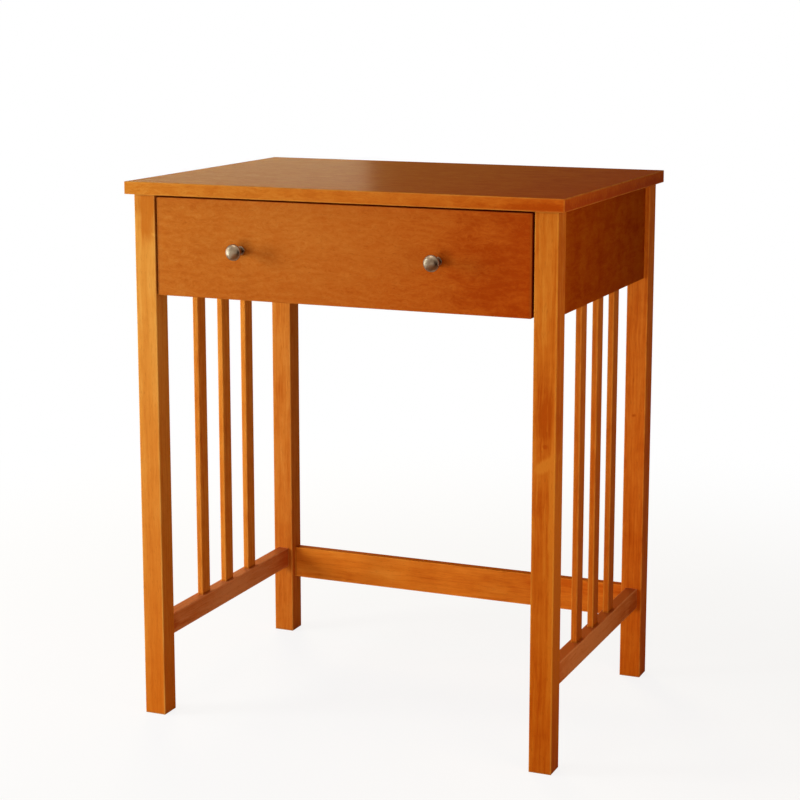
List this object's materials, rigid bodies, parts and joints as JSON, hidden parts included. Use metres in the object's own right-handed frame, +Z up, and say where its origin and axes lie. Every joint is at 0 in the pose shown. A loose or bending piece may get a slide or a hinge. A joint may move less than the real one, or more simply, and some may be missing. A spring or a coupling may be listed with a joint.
{
  "type": "writing desk",
  "caption": "Small stained-wood writing desk with square legs, slatted ends, a rear stretcher and a full-width drawer with metal knobs on roller slides.",
  "frame": {"origin": "on the floor, at the centre of the desk's footprint, counting the knobs that stand out in front", "axes": "+Z up, +Y towards the desk's back, +X towards the right-hand end as seen from the front"},
  "size_m": [0.632, 0.4806, 0.762],
  "materials": {
    "desktop_wood": "brown stained solid wood, glossy lacquer",
    "stained_wood": "honey-orange stained solid wood, satin lacquer",
    "raw_wood": "pale unfinished wood",
    "pewter": "aged pewter plating, soft shine",
    "coated_steel": "white epoxy coating",
    "zinc_steel": "bright zinc plating",
    "nylon": "natural nylon"
  },
  "bodies": {
    "frame": {"tabletop": "desktop_wood", "leg_front_left": "stained_wood", "leg_front_right": "stained_wood", "leg_rear_left": "stained_wood", "leg_rear_right": "stained_wood", "apron_left": "stained_wood", "apron_right": "stained_wood", "apron_rear": "stained_wood", "front_rail": "stained_wood", "stretcher_left": "stained_wood", "stretcher_right": "stained_wood", "stretcher_rear": "stained_wood", "slat_left_front": "stained_wood", "slat_left_middle": "stained_wood", "slat_left_rear": "stained_wood", "slat_right_front": "stained_wood", "slat_right_middle": "stained_wood", "slat_right_rear": "stained_wood", "frame_dowels": "raw_wood", "top_brackets": "zinc_steel", "bracket_screws": "zinc_steel", "rail_screws": "zinc_steel", "slide_packer_left": "raw_wood", "slide_packer_right": "raw_wood", "cabinet_slide_left": "coated_steel", "cabinet_slide_right": "coated_steel", "cabinet_slide_pins": "zinc_steel", "cabinet_slide_screws": "zinc_steel"},
    "drawer": {"drawer_front": "stained_wood", "drawer_side_left": "raw_wood", "drawer_side_right": "raw_wood", "drawer_back": "raw_wood", "drawer_bottom": "raw_wood", "drawer_dowels": "raw_wood", "drawer_back_screws": "zinc_steel", "drawer_bottom_screws": "zinc_steel", "knob_left": "pewter", "knob_right": "pewter", "knob_screws": "zinc_steel", "drawer_slide_left": "coated_steel", "drawer_slide_right": "coated_steel", "drawer_slide_pins": "zinc_steel", "drawer_slide_screws": "zinc_steel"},
    "cabinet_roller_left": {"cabinet_roller_left": "nylon"},
    "cabinet_roller_right": {"cabinet_roller_right": "nylon"},
    "drawer_roller_left": {"drawer_roller_left": "nylon"},
    "drawer_roller_right": {"drawer_roller_right": "nylon"}
  },
  "joints": [
    {"name": "drawer_pull", "type": "slide", "parent": "frame", "child": "drawer", "axis": [0, -1, 0], "range_m": [0, 0.26]},
    {"name": "cabinet_roller_left_spin", "type": "hinge", "parent": "frame", "child": "cabinet_roller_left", "pos_m": [-0.26775, -0.17825, 0.6263], "axis": [1, 0, 0], "range_deg": [0, 1656]},
    {"name": "cabinet_roller_right_spin", "type": "hinge", "parent": "frame", "child": "cabinet_roller_right", "pos_m": [0.26775, -0.17825, 0.6263], "axis": [1, 0, 0], "range_deg": [0, 1656]},
    {"name": "drawer_roller_left_spin", "type": "hinge", "parent": "drawer", "child": "drawer_roller_left", "pos_m": [-0.26775, 0.14175, 0.6263], "axis": [1, 0, 0], "range_deg": [0, 1490]},
    {"name": "drawer_roller_right_spin", "type": "hinge", "parent": "drawer", "child": "drawer_roller_right", "pos_m": [0.26775, 0.14175, 0.6263], "axis": [1, 0, 0], "range_deg": [0, 1490]}
  ],
  "couplings": [
    {"joint": "cabinet_roller_left_spin", "follows": "drawer_pull", "rad_per_m": 111.11},
    {"joint": "cabinet_roller_right_spin", "follows": "drawer_pull", "rad_per_m": 111.11},
    {"joint": "drawer_roller_left_spin", "follows": "drawer_pull", "rad_per_m": 100},
    {"joint": "drawer_roller_right_spin", "follows": "drawer_pull", "rad_per_m": 100}
  ]
}
